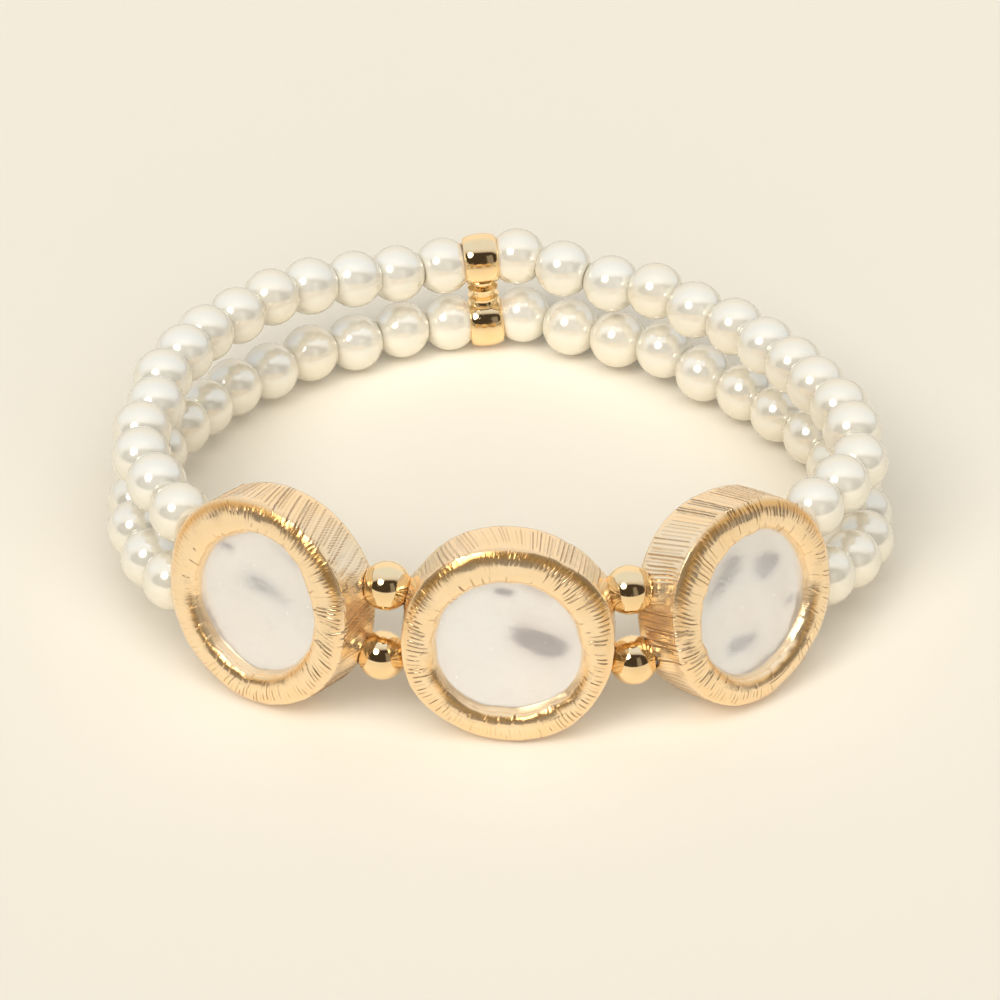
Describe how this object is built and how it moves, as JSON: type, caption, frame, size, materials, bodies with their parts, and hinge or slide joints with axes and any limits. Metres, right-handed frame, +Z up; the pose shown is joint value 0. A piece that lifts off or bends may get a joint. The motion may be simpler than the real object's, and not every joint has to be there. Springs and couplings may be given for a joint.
{
  "type": "pearl bracelet",
  "caption": "Two-strand stretch pearl bracelet standing on its edge, with gold bezels and hammered shell inlays at the front, gold balls between them and a gold spacer bar at the back.",
  "frame": {"origin": "middle of the bounding box, on the surface that the bracelet stands on", "axes": "+Z up along the wrist's axis, -Y to the centre bezel at the front, +Y to the spacer bar at the back, +X to the right"},
  "size_m": [0.0654, 0.0642, 0.0174],
  "materials": {
    "gold": "bright plated, with scored radial and axial lines",
    "polished_gold": "mirror polished plate",
    "pearl": "pearlescent gloss",
    "shell": "glossy, softly dented"
  },
  "bodies": {
    "root": {"bezel_left": "gold", "bezel_centre": "gold", "bezel_right": "gold", "inlay_left": "shell", "inlay_centre": "shell", "inlay_right": "shell", "gold_ball_left_upper": "polished_gold", "gold_ball_left_lower": "polished_gold", "gold_ball_right_upper": "polished_gold", "gold_ball_right_lower": "polished_gold", "back_spacer": "polished_gold", "pearls_upper": "pearl", "pearls_lower": "pearl"}
  },
  "joints": []
}
